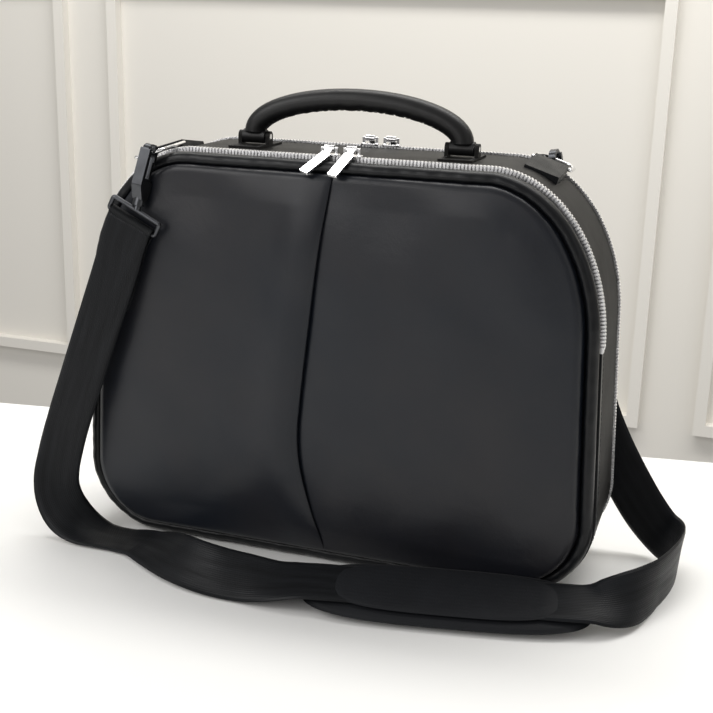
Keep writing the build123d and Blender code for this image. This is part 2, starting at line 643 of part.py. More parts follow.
with BuildPart() as hook_body_left:
    with BuildSketch(hook_plane):
        with BuildLine():
            FilletPolyline((-3.4, 8), (3.4, 8), (NOSE_OUT, 15), (NOSE_OUT, CROOK_TOP),
                           (SPINE_OUT, CROOK_TOP), (SPINE_OUT, 18),
                           radius=[0.6, 0.6, 3, 5.5, 5.5, 3], close=True)
        make_face()
        with BuildLine():
            FilletPolyline((NOSE_IN, BASE_TOP), (NOSE_IN, CROOK_ROOM),
                           (SPINE_IN, CROOK_ROOM), (SPINE_IN, BASE_TOP),
                           radius=[0.6, 2.4, 2.4, 2.4], close=True)
        make_face(mode=Mode.SUBTRACT)
        with Locations((NOSE_OUT, (BASE_TOP + GATE_TOP) / 2)):
            Rectangle(5.2, GATE_TOP - BASE_TOP + 0.4, mode=Mode.SUBTRACT)
    extrude(amount=2.6, both=True)
    with BuildSketch(hook_plane):
        with BuildLine():
            FilletPolyline((-3.4, 8), (3.4, 8), (NOSE_OUT, 15), (NOSE_OUT, BASE_TOP - 2),
                           (SPINE_IN, BASE_TOP - 2), (SPINE_IN, CROOK_ROOM - 1),
                           (SPINE_OUT, CROOK_ROOM - 1), (SPINE_OUT, 18),
                           radius=[0.6, 0.6, 3, 1, 1, 1, 1, 3], close=True)
        make_face()
    extrude(amount=4.2, both=True)
    with BuildSketch(hook_plane):
        with Locations((2.4, (15.9 + BASE_TOP + 0.8) / 2)):
            Rectangle(7.8, BASE_TOP + 0.8 - 15.9)
    extrude(amount=1.6, both=True, mode=Mode.SUBTRACT)
    with BuildSketch(swivel_plane.offset(BARREL_LOW)):
        Circle(4.2)
    extrude(amount=BARREL_HIGH - BARREL_LOW)
    with BuildSketch(swivel_plane.offset(BARREL_LOW)):
        Circle(1.66)
    extrude(amount=5.4, mode=Mode.SUBTRACT)
    with BuildSketch(hook_plane):
        with Locations(GATE_PIVOT):
            Circle(0.8)
    extrude(amount=10, both=True, mode=Mode.SUBTRACT)
hook_body_left.part.label = "hook_body_left"
export_step(hook_body_left.part, "parts/hook_body_left.step")

with BuildPart() as hook_gate_left:
    with BuildSketch(hook_plane):
        with Locations(GATE_PIVOT):
            Circle(2.0)
        with BuildLine():
            Polyline((NOSE_IN + 0.1, 18.5), (NOSE_OUT - 0.1, 18.5), (NOSE_OUT - 0.1, GATE_TOP),
                     (NOSE_IN + 0.1, GATE_TOP), (NOSE_IN + 0.1, 18.5))
        make_face()
        with Locations(GATE_PIVOT):
            Circle(0.86, mode=Mode.SUBTRACT)
    extrude(amount=1.45, both=True)
hook_gate_left.part.label = "hook_gate_left"
export_step(hook_gate_left.part, "parts/hook_gate_left.step")

with BuildPart() as hook_gate_pin_left:
    with BuildSketch(hook_plane):
        with Locations(GATE_PIVOT):
            Circle(0.8)
    extrude(amount=4.2, both=True)
hook_gate_pin_left.part.label = "hook_gate_pin_left"
export_step(hook_gate_pin_left.part, "parts/hook_gate_pin_left.step")

BAR_RIGHT = Vector(0.894, 0, -0.447).normalized()
HOOK_LOOP_WIDTH, HOOK_LOOP_DROP, HOOK_LOOP_WIRE = 41.4, 10.0, 1.7
hook_loop_plane = Plane(origin=SWIVEL, x_dir=BAR_RIGHT, z_dir=(0, -1, 0))

LOOP_HALF = HOOK_LOOP_WIDTH / 2
LOOP_CORNERS = [(LOOP_HALF, 0), (LOOP_HALF, -HOOK_LOOP_DROP),
                (-LOOP_HALF, -HOOK_LOOP_DROP), (-LOOP_HALF, 0)]

with BuildPart() as hook_loop_left:
    add(wire_ring(hook_loop_plane, LOOP_CORNERS, [1.9] * 4, HOOK_LOOP_WIRE))
    with BuildSketch(swivel_plane):
        Circle(2.6)
    extrude(amount=3.2)
    with BuildSketch(swivel_plane):
        Circle(1.6)
    extrude(amount=8.6)
hook_loop_left.part.label = "hook_loop_left"
export_step(hook_loop_left.part, "parts/hook_loop_left.step")

with BuildPart() as hook_body_right:
    add(hook_body_left.part.rotate(Axis.Z, 180))
hook_body_right.part.label = "hook_body_right"
export_step(hook_body_right.part, "parts/hook_body_right.step")

with BuildPart() as hook_gate_right:
    add(hook_gate_left.part.rotate(Axis.Z, 180))
hook_gate_right.part.label = "hook_gate_right"
export_step(hook_gate_right.part, "parts/hook_gate_right.step")

with BuildPart() as hook_gate_pin_right:
    add(hook_gate_pin_left.part.rotate(Axis.Z, 180))
hook_gate_pin_right.part.label = "hook_gate_pin_right"
export_step(hook_gate_pin_right.part, "parts/hook_gate_pin_right.step")

with BuildPart() as hook_loop_right:
    add(hook_loop_left.part.rotate(Axis.Z, 180))
hook_loop_right.part.label = "hook_loop_right"
export_step(hook_loop_right.part, "parts/hook_loop_right.step")

# ---------------------------------------------------------------- shoulder strap
# Centre line of the webbing with the direction of its width at each station. The
# strap drops from the left hook, turns onto the floor, runs through the pad's
# sleeve, turns behind the bag and climbs to the right hook.
STRAP_STATIONS = [
    ((-149, -74.9, 255.1), (-0.894, 0.0, 0.447)),
    ((-154, -74.9, 244), (-0.90, 0.0, 0.43)),
    ((-161, -74.6, 222), (-0.91, 0.0, 0.41)),
    ((-172, -74.4, 193), (-0.92, 0.0, 0.39)),
    ((-185, -74.4, 158), (-0.93, 0.0, 0.36)),
    ((-198, -74.8, 122), (-0.94, 0.0, 0.33)),
    ((-210, -75.6, 88), (-0.95, -0.02, 0.30)),
    ((-218, -77.5, 58), (-0.97, -0.10, 0.20)),
    ((-220, -80, 38), (-0.95, -0.30, 0.0)),
    ((-212, -83, 20), (-0.77, -0.55, -0.32)),
    ((-196, -85, 8.5), (-0.42, -0.87, -0.26)),
    ((-176, -85, 3.2), (-0.08, -0.99, -0.08)),
    ((-156, -84, 2.6), (0.20, -0.97, -0.05)),
    ((-136, -88, 6.2), (-0.40, -0.89, -0.20)),
    ((-114, -105, 12.2), (-0.43, -0.73, -0.53)),
    ((-88, -124, 17.4), (-0.18, -0.62, -0.76)),
    ((-60, -131, 16.6), (0.02, -0.62, -0.78)),
    ((-34, -129, 14.4), (-0.06, -0.74, -0.67)),
    ((-10, -126.5, 14.6), (0.14, -0.90, -0.40)),
    ((8, -124.46, 18.3), (0.185, -0.938, -0.292)),
    ((48, -116.6, 18.3), (0.185, -0.938, -0.292)),
    ((110, -104.4, 18.3), (0.185, -0.938, -0.292)),
    ((209, -84.92, 18.3), (0.185, -0.938, -0.292)),
    ((226, -76, 18.9), (0.30, -0.66, -0.68)),
    ((240, -60, 20.2), (0.22, -0.28, -0.93)),
    ((250, -38, 20.2), (0.08, -0.03, -1.0)),
    ((258, -10, 20.2), (0.02, 0.0, -1.0)),
    ((261, 14, 20.2), (-0.08, 0.0, -1.0)),
    ((257, 35, 20.2), (-0.32, 0.0, -0.95)),
    ((245, 50, 20.5), (-0.60, 0.05, -0.79)),
    ((230, 56, 34), (-0.76, 0.0, -0.65)),
    ((214, 58, 57), (-0.83, 0.0, -0.56)),
    ((197, 61, 84), (-0.87, 0.0, -0.49)),
    ((182, 64, 114), (-0.92, 0.0, -0.39)),
    ((174, 68, 140), (-0.96, 0.0, -0.28)),
    ((169, 71, 170), (-0.98, 0.0, -0.20)),
    ((163, 73.5, 206), (-0.96, 0.0, -0.28)),
    ((154, 74.9, 244), (-0.90, 0.0, -0.43)),
    ((149, 74.9, 255.1), (-0.894, 0.0, -0.447)),
]


def strap_section(index):
    """Rectangle across the webbing at one station, square to its run."""
    centre, across = STRAP_STATIONS[index]
    before = STRAP_STATIONS[max(index - 1, 0)][0]
    after = STRAP_STATIONS[min(index + 1, len(STRAP_STATIONS) - 1)][0]
    run = (Vector(after) - Vector(before)).normalized()
    width = (Vector(across) - run * Vector(across).dot(run)).normalized()
    return Plane(origin=centre, x_dir=width, z_dir=run)


with BuildPart() as shoulder_strap:
    for index in range(len(STRAP_STATIONS)):
        with BuildSketch(strap_section(index)):
            Rectangle(STRAP_WIDTH, STRAP_THICK)
    loft(ruled=True)
shoulder_strap.part.label = "shoulder_strap"
export_step(shoulder_strap.part, "parts/shoulder_strap.step")

# the webbing wraps each hook loop's lower bar and lies doubled against the bag
LOOP_BAR = SWIVEL + Vector(-0.447, 0, -0.894) * HOOK_LOOP_DROP
WRAP_INNER = HOOK_LOOP_WIRE + 0.35
LAYER_STEP = STRAP_THICK + 0.1
LAST = len(STRAP_STATIONS) - 1


def doubled_end(stations):
    """Second layer of webbing on the bag side of the strap, from the loop bar onwards."""
    shifts = [2 * WRAP_INNER + STRAP_THICK, LAYER_STEP + 0.6, LAYER_STEP, LAYER_STEP]
    with BuildPart() as layer:
        for index, shift in zip(stations, shifts):
            with BuildSketch(strap_section(index).move(Location(Vector(0, shift, 0)))):
                Rectangle(STRAP_WIDTH, STRAP_THICK)
        loft(ruled=True)
    return layer.part


with BuildPart() as strap_wrap:
    with BuildSketch(Plane(origin=LOOP_BAR, x_dir=(0, 1, 0), z_dir=BAR_RIGHT)):
        Circle(WRAP_INNER + STRAP_THICK)
        Circle(WRAP_INNER, mode=Mode.SUBTRACT)
        with Locations((0, -10.5)):
            Rectangle(20, 20, mode=Mode.SUBTRACT)
    extrude(amount=STRAP_WIDTH / 2, both=True)

with BuildPart() as strap_end_left:
    add(strap_wrap.part)
    add(doubled_end((0, 1, 2, 3)))
    add(shoulder_strap.part, mode=Mode.SUBTRACT)
strap_end_left.part.label = "strap_end_left"
export_step(strap_end_left.part, "parts/strap_end_left.step")

with BuildPart() as strap_end_right:
    add(strap_wrap.part.rotate(Axis.Z, 180))
    add(doubled_end((LAST, LAST - 1, LAST - 2, LAST - 3)))
    add(shoulder_strap.part, mode=Mode.SUBTRACT)
strap_end_right.part.label = "strap_end_right"
export_step(strap_end_right.part, "parts/strap_end_right.step")

# slide adjuster on the doubled stretch behind the bag, on the webbing's outer face
adjuster_run = strap_section(LAST - 3)
adjuster_plane = Plane(origin=adjuster_run.origin, x_dir=adjuster_run.x_dir,
                       z_dir=-adjuster_run.y_dir)

with BuildPart() as strap_adjuster:
    with BuildSketch(adjuster_plane.offset(STRAP_THICK / 2 + 0.6)):
        RectangleRounded(STRAP_WIDTH + 8, 26, 3)
        with GridLocations(0, 12, 1, 2):
            RectangleRounded(STRAP_WIDTH + 2, 8, 1, mode=Mode.SUBTRACT)
    extrude(amount=2.4)
strap_adjuster.part.label = "strap_adjuster"
export_step(strap_adjuster.part, "parts/strap_adjuster.step")

# ---------------------------------------------------------------- shoulder pad
PAD_CENTRE = Vector(109.6, -101.8, 8.9)
PAD_ALONG = Vector(0.981, 0.193, 0)
PAD_ACROSS = Vector(-0.193 * cos(radians(PAD_TILT)), 0.981 * cos(radians(PAD_TILT)),
                    sin(radians(PAD_TILT)))
pad_plane = Plane(origin=PAD_CENTRE, x_dir=PAD_ALONG, z_dir=PAD_ALONG.cross(PAD_ACROSS))

with BuildPart() as shoulder_pad:
    with BuildSketch(pad_plane):
        RectangleRounded(PAD_LENGTH, PAD_WIDTH, PAD_WIDTH * 0.42)
    extrude(amount=PAD_THICK)
    fillet(shoulder_pad.faces().group_by(SortBy.AREA)[-1].edges(), 3.0)
shoulder_pad.part.label = "shoulder_pad"
export_step(shoulder_pad.part, "parts/shoulder_pad.step")

with BuildPart() as pad_sleeve:
    with BuildSketch(pad_plane.offset(PAD_THICK + 0.1)):
        RectangleRounded(SLEEVE_LENGTH, SLEEVE_WIDTH, 3)
    extrude(amount=3.5)
    fillet(pad_sleeve.faces().group_by(SortBy.AREA)[-1].edges(), 1.0)
    add(shoulder_strap.part, mode=Mode.SUBTRACT)
pad_sleeve.part.label = "pad_sleeve"
export_step(pad_sleeve.part, "parts/pad_sleeve.step")
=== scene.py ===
"""Looks of the leather briefcase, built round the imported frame. Metres, same frame as the CAD."""
import json
import math

import bpy
import numpy as np
from mathutils import Matrix, Vector


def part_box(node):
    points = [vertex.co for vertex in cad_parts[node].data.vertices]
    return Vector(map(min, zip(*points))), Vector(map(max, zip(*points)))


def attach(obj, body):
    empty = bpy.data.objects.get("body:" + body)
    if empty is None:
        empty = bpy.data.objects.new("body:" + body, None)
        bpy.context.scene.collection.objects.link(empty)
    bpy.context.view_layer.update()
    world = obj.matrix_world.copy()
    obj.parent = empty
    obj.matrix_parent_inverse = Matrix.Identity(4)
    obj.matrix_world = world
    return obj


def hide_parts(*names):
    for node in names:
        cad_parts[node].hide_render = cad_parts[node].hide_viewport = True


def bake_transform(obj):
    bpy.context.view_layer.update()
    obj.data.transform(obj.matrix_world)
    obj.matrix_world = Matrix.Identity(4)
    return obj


MM = 0.001
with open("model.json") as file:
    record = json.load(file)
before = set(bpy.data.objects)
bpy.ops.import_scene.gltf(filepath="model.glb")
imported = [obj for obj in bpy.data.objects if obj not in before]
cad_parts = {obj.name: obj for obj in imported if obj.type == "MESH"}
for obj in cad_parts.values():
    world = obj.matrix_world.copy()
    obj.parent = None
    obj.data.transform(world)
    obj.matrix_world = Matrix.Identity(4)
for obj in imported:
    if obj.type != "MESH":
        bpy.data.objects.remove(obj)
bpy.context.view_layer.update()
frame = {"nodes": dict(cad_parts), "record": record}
nodes = frame["nodes"]

# ---------------------------------------------------------------- sizes, as in the CAD source
HEIGHT = 308 * MM
HALF_TOP, HALF_BOTTOM = 197 * MM, 203 * MM
CORNER_X, CORNER_Z, CORNER_LOW = 85 * MM, 118 * MM, 60 * MM
EDGE_INSET = 9.5 * MM
FRONT_FOLD = ((-116 * MM, 308 * MM), (203 * MM, 190 * MM))
BACK_FOLD = ((116 * MM, 308 * MM), (-203 * MM, 60 * MM))
FRONT_ZIP_END, BACK_ZIP_END = 190 * MM, 36 * MM
STRAP_WIDTH, STRAP_THICK = 37 * MM, 2.2 * MM

# route of the shoulder strap: centre line in metres, and direction across the webbing
STRAP_STATIONS = [
    ((-0.149, -0.0749, 0.2551), (-0.894, 0.0, 0.447)),
    ((-0.154, -0.0749, 0.244), (-0.90, 0.0, 0.43)),
    ((-0.161, -0.0746, 0.222), (-0.91, 0.0, 0.41)),
    ((-0.172, -0.0744, 0.193), (-0.92, 0.0, 0.39)),
    ((-0.185, -0.0744, 0.158), (-0.93, 0.0, 0.36)),
    ((-0.198, -0.0748, 0.122), (-0.94, 0.0, 0.33)),
    ((-0.21, -0.0756, 0.088), (-0.95, -0.02, 0.30)),
    ((-0.218, -0.0775, 0.058), (-0.97, -0.10, 0.20)),
    ((-0.22, -0.08, 0.038), (-0.95, -0.30, 0.0)),
    ((-0.212, -0.083, 0.02), (-0.77, -0.55, -0.32)),
    ((-0.196, -0.085, 0.0085), (-0.42, -0.87, -0.26)),
    ((-0.176, -0.085, 0.0032), (-0.08, -0.99, -0.08)),
    ((-0.156, -0.084, 0.0026), (0.20, -0.97, -0.05)),
    ((-0.136, -0.088, 0.0062), (-0.40, -0.89, -0.20)),
    ((-0.114, -0.105, 0.0122), (-0.43, -0.73, -0.53)),
    ((-0.088, -0.124, 0.0174), (-0.18, -0.62, -0.76)),
    ((-0.06, -0.131, 0.0166), (0.02, -0.62, -0.78)),
    ((-0.034, -0.129, 0.0144), (-0.06, -0.74, -0.67)),
    ((-0.01, -0.1265, 0.0146), (0.14, -0.90, -0.40)),
    ((0.008, -0.12446, 0.0183), (0.185, -0.938, -0.292)),
    ((0.048, -0.1166, 0.0183), (0.185, -0.938, -0.292)),
    ((0.11, -0.1044, 0.0183), (0.185, -0.938, -0.292)),
    ((0.209, -0.08492, 0.0183), (0.185, -0.938, -0.292)),
    ((0.226, -0.076, 0.0189), (0.30, -0.66, -0.68)),
    ((0.24, -0.06, 0.0202), (0.22, -0.28, -0.93)),
    ((0.25, -0.038, 0.0202), (0.08, -0.03, -1.0)),
    ((0.258, -0.01, 0.0202), (0.02, 0.0, -1.0)),
    ((0.261, 0.014, 0.0202), (-0.08, 0.0, -1.0)),
    ((0.257, 0.035, 0.0202), (-0.32, 0.0, -0.95)),
    ((0.245, 0.05, 0.0205), (-0.60, 0.05, -0.79)),
    ((0.23, 0.056, 0.034), (-0.76, 0.0, -0.65)),
    ((0.214, 0.058, 0.057), (-0.83, 0.0, -0.56)),
    ((0.197, 0.061, 0.084), (-0.87, 0.0, -0.49)),
    ((0.182, 0.064, 0.114), (-0.92, 0.0, -0.39)),
    ((0.174, 0.068, 0.14), (-0.96, 0.0, -0.28)),
    ((0.169, 0.071, 0.17), (-0.98, 0.0, -0.20)),
    ((0.163, 0.0735, 0.206), (-0.96, 0.0, -0.28)),
    ((0.154, 0.0749, 0.244), (-0.90, 0.0, -0.43)),
    ((0.149, 0.0749, 0.2551), (-0.894, 0.0, -0.447)),
]


# ---------------------------------------------------------------- camera
CAMERA_PLACE = (0.2840, -0.8369, 0.4076)
CAMERA_YAW, CAMERA_PITCH, CAMERA_ROLL = 0.3222, 0.2836, 0.0266      # radians
CAMERA_LENS, CAMERA_SENSOR = 59.6, 36                               # millimetres


def place_camera():
    """Camera in front and to the right, looking down and left, rolled a little to the left."""
    yaw, pitch, roll = CAMERA_YAW, CAMERA_PITCH, CAMERA_ROLL
    ahead = Vector((-math.sin(yaw) * math.cos(pitch), math.cos(yaw) * math.cos(pitch),
                    -math.sin(pitch)))
    level = Vector((math.cos(yaw), math.sin(yaw), 0))
    rise = level.cross(ahead)
    right = level * math.cos(roll) + rise * math.sin(roll)
    up = rise * math.cos(roll) - level * math.sin(roll)
    data = bpy.data.cameras.new("camera")
    data.lens, data.sensor_width = CAMERA_LENS, CAMERA_SENSOR
    data.clip_start, data.clip_end = 0.02, 30
    camera = bpy.data.objects.new("camera", data)
    bpy.context.collection.objects.link(camera)
    turn = Matrix((right, up, -ahead)).transposed().to_4x4()
    camera.matrix_world = Matrix.Translation(CAMERA_PLACE) @ turn
    bpy.context.scene.camera = camera


place_camera()


# ---------------------------------------------------------------- mesh helpers
def mesh_object(name, points, faces, uv=None, smooth=True):
    """New mesh object from points and faces, with one UV pair per point if given."""
    data = bpy.data.meshes.new(name)
    data.from_pydata([tuple(p) for p in points], [], faces)
    data.validate()
    if uv is not None:
        layer = data.uv_layers.new(name="run")
        loops = np.zeros(len(data.loops), np.int32)
        data.loops.foreach_get("vertex_index", loops)
        layer.data.foreach_set("uv", np.asarray(uv, np.float32)[loops].ravel())
    data.polygons.foreach_set("use_smooth", [smooth] * len(data.polygons))
    made = bpy.data.objects.new(name, data)
    bpy.context.collection.objects.link(made)
    return made


def grid_faces(rows, columns, close_rows=False, close_columns=False):
    """Quads of a grid whose points run along the columns first."""
    faces = []
    for i in range(rows if close_rows else rows - 1):
        for j in range(columns if close_columns else columns - 1):
            a, b = i * columns + j, i * columns + (j + 1) % columns
            c, d = (i + 1) % rows * columns + (j + 1) % columns, (i + 1) % rows * columns + j
            faces.append((a, b, c, d))
    return faces


def outline(inset=0.0, step=2.0 * MM):
    """Evenly spaced points (x, z) of the bag's outline from the front, outward normals and runs."""
    top_x, low_x = HALF_TOP - CORNER_X, HALF_BOTTOM - CORNER_LOW
    top_z = HEIGHT - CORNER_Z
    quarter = np.linspace(0, np.pi / 2, 200)
    ring = []
    ring += [(low_x + CORNER_LOW * math.sin(a), CORNER_LOW - CORNER_LOW * math.cos(a)) for a in quarter]
    ring += [(top_x + CORNER_X * math.cos(a), top_z + CORNER_Z * math.sin(a)) for a in quarter]
    ring += [(-x, z) for x, z in reversed(ring)]
    ring = np.array(ring + [ring[0]])
    lengths = np.concatenate([[0], np.cumsum(np.linalg.norm(np.diff(ring, axis=0), axis=1))])
    count = int(round(lengths[-1] / step))
    at = np.linspace(0, lengths[-1], count, endpoint=False)
    points = np.column_stack([np.interp(at, lengths, ring[:, 0]), np.interp(at, lengths, ring[:, 1])])
    along = np.roll(points, -1, 0) - np.roll(points, 1, 0)
    along /= np.linalg.norm(along, axis=1)[:, None]
    normals = np.column_stack([along[:, 1], -along[:, 0]])
    return points - normals * inset, normals, along


def fold_side(points, fold):
    """Signed distance of (x, z) points from a fold line, positive on the flap's side."""
    (x0, z0), (x1, z1) = fold
    run = np.array([x1 - x0, z1 - z0]) / math.hypot(x1 - x0, z1 - z0)
    normal = np.array([-run[1], run[0]])
    normal = normal if normal[1] > 0 else -normal
    return (points - np.array([x0, z0])) @ normal


def half_width(z, inset):
    """Half width of the profile at height z, moved inwards by inset."""
    high, low = HEIGHT - CORNER_Z, CORNER_LOW
    if z > high:
        share = min(1.0, (z - high) / (CORNER_Z - inset))
        return HALF_TOP - CORNER_X + (CORNER_X - inset) * math.sqrt(max(0, 1 - share * share))
    if z < low:
        share = min(1.0, (low - z) / (CORNER_LOW - inset))
        return HALF_BOTTOM - CORNER_LOW + (CORNER_LOW - inset) * math.sqrt(max(0, 1 - share * share))
    return HALF_BOTTOM - inset + (HALF_TOP - HALF_BOTTOM) * (z - low) / (high - low)


# ---------------------------------------------------------------- materials
def new_material(name):
    """Node material with its principled shader."""
    made = bpy.data.materials.new(name)
    made.use_nodes = True
    tree = made.node_tree
    return made, tree, tree.nodes["Principled BSDF"]


def add(tree, kind, **inputs):
    """New node with its input values set by name."""
    node = tree.nodes.new(kind)
    for key, value in inputs.items():
        node.inputs[key.replace("_", " ")].default_value = value
    return node


def bump_chain(tree, shader, heights):
    """Bump nodes in a row: (height socket, strength, distance) from coarse to fine."""
    normal = None
    for socket, strength, distance in heights:
        bump = add(tree, "ShaderNodeBump", Strength=strength, Distance=distance)
        tree.links.new(socket, bump.inputs["Height"])
        if normal is not None:
            tree.links.new(normal, bump.inputs["Normal"])
        normal = bump.outputs["Normal"]
    tree.links.new(normal, shader.inputs["Normal"])


def ramp(tree, source, low, high, dark, light):
    """Colour ramp between two colours over part of a socket's range."""
    node = tree.nodes.new("ShaderNodeValToRGB")
    node.color_ramp.elements[0].position, node.color_ramp.elements[0].color = low, (*dark, 1)
    node.color_ramp.elements[1].position, node.color_ramp.elements[1].color = high, (*light, 1)
    tree.links.new(source, node.inputs["Fac"])
    return node.outputs["Color"]


def vary(tree, source, low, high):
    """A socket's 0 to 1 mapped to a range of numbers."""
    node = add(tree, "ShaderNodeMapRange")
    node.inputs["To Min"].default_value, node.inputs["To Max"].default_value = low, high
    tree.links.new(source, node.inputs["Value"])
    return node.outputs["Result"]


def leather(name, dark, light, rough, grain=0.25, creases=0.25, shine=0.3):
    """Finished leather: pebble grain, fine pores, soft creases, uneven polish."""
    made, tree, shader = new_material(name)
    place = tree.nodes.new("ShaderNodeTexCoord").outputs["Object"]
    cells = add(tree, "ShaderNodeTexVoronoi", Scale=950.0)
    cells.feature = "SMOOTH_F1"
    pores = add(tree, "ShaderNodeTexNoise", Scale=2600.0, Detail=3.0)
    folds = add(tree, "ShaderNodeTexNoise", Scale=34.0, Detail=5.0, Roughness=0.55, Distortion=0.6)
    patches = add(tree, "ShaderNodeTexNoise", Scale=7.0, Detail=4.0, Roughness=0.6)
    for node in (cells, pores, folds, patches):
        tree.links.new(place, node.inputs["Vector"])
    tree.links.new(ramp(tree, patches.outputs["Fac"], 0.35, 0.68, dark, light), shader.inputs["Base Color"])
    tree.links.new(vary(tree, folds.outputs["Fac"], rough - 0.07, rough + 0.07), shader.inputs["Roughness"])
    shader.inputs["Specular IOR Level"].default_value = shine
    shader.inputs["Coat Weight"].default_value = shine * 0.2
    shader.inputs["Coat Roughness"].default_value = 0.38
    bump_chain(tree, shader, [(folds.outputs["Fac"], creases, 0.0012),
                              (cells.outputs["Distance"], grain, 0.00022),
                              (pores.outputs["Fac"], grain * 0.6, 0.00008)])
    return made


def metal(name, color, rough, brushed=0.06):
    """Plated metal with fine scratches and slight smears."""
    made, tree, shader = new_material(name)
    place = tree.nodes.new("ShaderNodeTexCoord").outputs["Object"]
    smears = add(tree, "ShaderNodeTexNoise", Scale=120.0, Detail=4.0)
    scratches = add(tree, "ShaderNodeTexNoise", Scale=1500.0, Detail=6.0, Distortion=1.5)
    for node in (smears, scratches):
        tree.links.new(place, node.inputs["Vector"])
    shader.inputs["Metallic"].default_value = 1.0
    dim = tuple(c * 0.82 for c in color)
    tree.links.new(ramp(tree, smears.outputs["Fac"], 0.3, 0.7, dim, color), shader.inputs["Base Color"])
    tree.links.new(vary(tree, smears.outputs["Fac"], rough * 0.7, rough * 1.4), shader.inputs["Roughness"])
    bump_chain(tree, shader, [(scratches.outputs["Fac"], brushed, 0.00005)])
    return made


def woven(name, dark, light, rough, scale, sheen=0.3):
    """Plain cloth: crossed threads and slight fading, placed in the bag's own space."""
    made, tree, shader = new_material(name)
    place = tree.nodes.new("ShaderNodeTexCoord").outputs["Object"]
    warp = add(tree, "ShaderNodeTexWave", Scale=scale, Distortion=0.6, Detail=2.0)
    weft = add(tree, "ShaderNodeTexWave", Scale=scale, Distortion=0.6, Detail=2.0)
    weft.bands_direction = "Z"
    fade = add(tree, "ShaderNodeTexNoise", Scale=22.0, Detail=4.0)
    for node in (warp, weft, fade):
        tree.links.new(place, node.inputs["Vector"])
    both = tree.nodes.new("ShaderNodeMath")
    both.operation = "MULTIPLY"
    tree.links.new(warp.outputs["Fac"], both.inputs[0])
    tree.links.new(weft.outputs["Fac"], both.inputs[1])
    tree.links.new(ramp(tree, fade.outputs["Fac"], 0.3, 0.7, dark, light), shader.inputs["Base Color"])
    shader.inputs["Roughness"].default_value = rough
    shader.inputs["Sheen Weight"].default_value = sheen
    shader.inputs["Specular IOR Level"].default_value = 0.2
    shader.inputs["Sheen Roughness"].default_value = 0.4
    bump_chain(tree, shader, [(fade.outputs["Fac"], 0.15, 0.0006), (both.outputs["Value"], 0.5, 0.0002)])
    return made


def webbing(name, dark, light, follow_uv):
    """Seat-belt webbing: lengthwise ribs, a fine twill across, satin streaks that are glossier and painted
    lighter; the lighter colour is painted sheen.
    """
    made, tree, shader = new_material(name)
    place = tree.nodes.new("ShaderNodeTexCoord").outputs["UV" if follow_uv else "Object"]
    ribs = add(tree, "ShaderNodeTexWave", Scale=210.0, Distortion=0.15, Detail=1.0)
    twill = add(tree, "ShaderNodeTexWave", Scale=330.0, Distortion=0.3, Detail=1.0)
    twill.bands_direction = "DIAGONAL"
    gloss_and_painted_sheen_streaks = add(tree, "ShaderNodeTexNoise", Scale=16.0, Detail=4.0)
    stretch = add(tree, "ShaderNodeMapping", Scale=(14.0, 1.0, 1.0) if follow_uv else (4.0, 4.0, 1.0))
    tree.links.new(place, stretch.inputs["Vector"])
    tree.links.new(stretch.outputs["Vector"], gloss_and_painted_sheen_streaks.inputs["Vector"])
    for node in (ribs, twill):
        tree.links.new(place, node.inputs["Vector"])
    # painted sheen: the streaks are painted lighter where they are glossier; their lower roughness is real
    # gloss
    tree.links.new(ramp(tree, gloss_and_painted_sheen_streaks.outputs["Fac"], 0.3, 0.72, dark, light), shader.inputs["Base Color"])
    tree.links.new(vary(tree, gloss_and_painted_sheen_streaks.outputs["Fac"], 0.62, 0.26), shader.inputs["Roughness"])
    shader.inputs["Sheen Weight"].default_value = 0.03
    shader.inputs["Specular IOR Level"].default_value = 0.16
    shader.inputs["Sheen Roughness"].default_value = 0.35
    bump_chain(tree, shader, [(ribs.outputs["Fac"], 0.35, 0.00025), (twill.outputs["Fac"], 0.35, 0.00015)])
    return made


LEATHER_FRONT = leather("panel_leather", (0.0040, 0.0062, 0.0110), (0.0100, 0.0100, 0.0128), 0.37,
                        grain=0.14, creases=0.34, shine=0.34)
LEATHER_EDGE = leather("edge_leather", (0.0025, 0.003, 0.004), (0.005, 0.0055, 0.007), 0.36,
                       grain=0.2, creases=0.3, shine=0.24)
LEATHER_GUSSET = leather("gusset_leather", (0.0055, 0.0052, 0.0048), (0.0095, 0.0090, 0.0085), 0.55,
                         grain=0.35, creases=0.35, shine=0.14)
LEATHER_GRIP = leather("grip_leather", (0.004, 0.0042, 0.005), (0.008, 0.0078, 0.0082), 0.40,
                       grain=0.3, creases=0.5, shine=0.3)
POLISHED = metal("polished_metal", (0.83, 0.83, 0.84), 0.14)
GUNMETAL = metal("gunmetal", (0.085, 0.088, 0.095), 0.30)
TEETH = metal("zip_metal", (0.93, 0.93, 0.94), 0.34)
TAPE = woven("zip_tape", (0.006, 0.006, 0.007), (0.011, 0.011, 0.012), 0.85, 420.0, 0.1)
LINING = woven("lining", (0.035, 0.036, 0.04), (0.06, 0.062, 0.068), 0.8, 260.0)
PAD_CLOTH = woven("pad_fabric", (0.0045, 0.0052, 0.0068), (0.009, 0.010, 0.0125), 0.6, 300.0, 0.05)
STRAP_CLOTH = webbing("strap_webbing", (0.0025, 0.003, 0.004), (0.0085, 0.0095, 0.0115), True)
LOOP_CLOTH = webbing("loop_webbing", (0.0025, 0.003, 0.004), (0.007, 0.008, 0.009), False)
BOARD = woven("board", (0.03, 0.03, 0.03), (0.05, 0.05, 0.05), 0.7, 160.0, 0.0)
RUBBER = woven("core_rubber", (0.03, 0.03, 0.03), (0.05, 0.05, 0.05), 0.7, 300.0, 0.0)
THREAD = woven("thread", (0.012, 0.012, 0.014), (0.02, 0.02, 0.023), 0.6, 900.0)

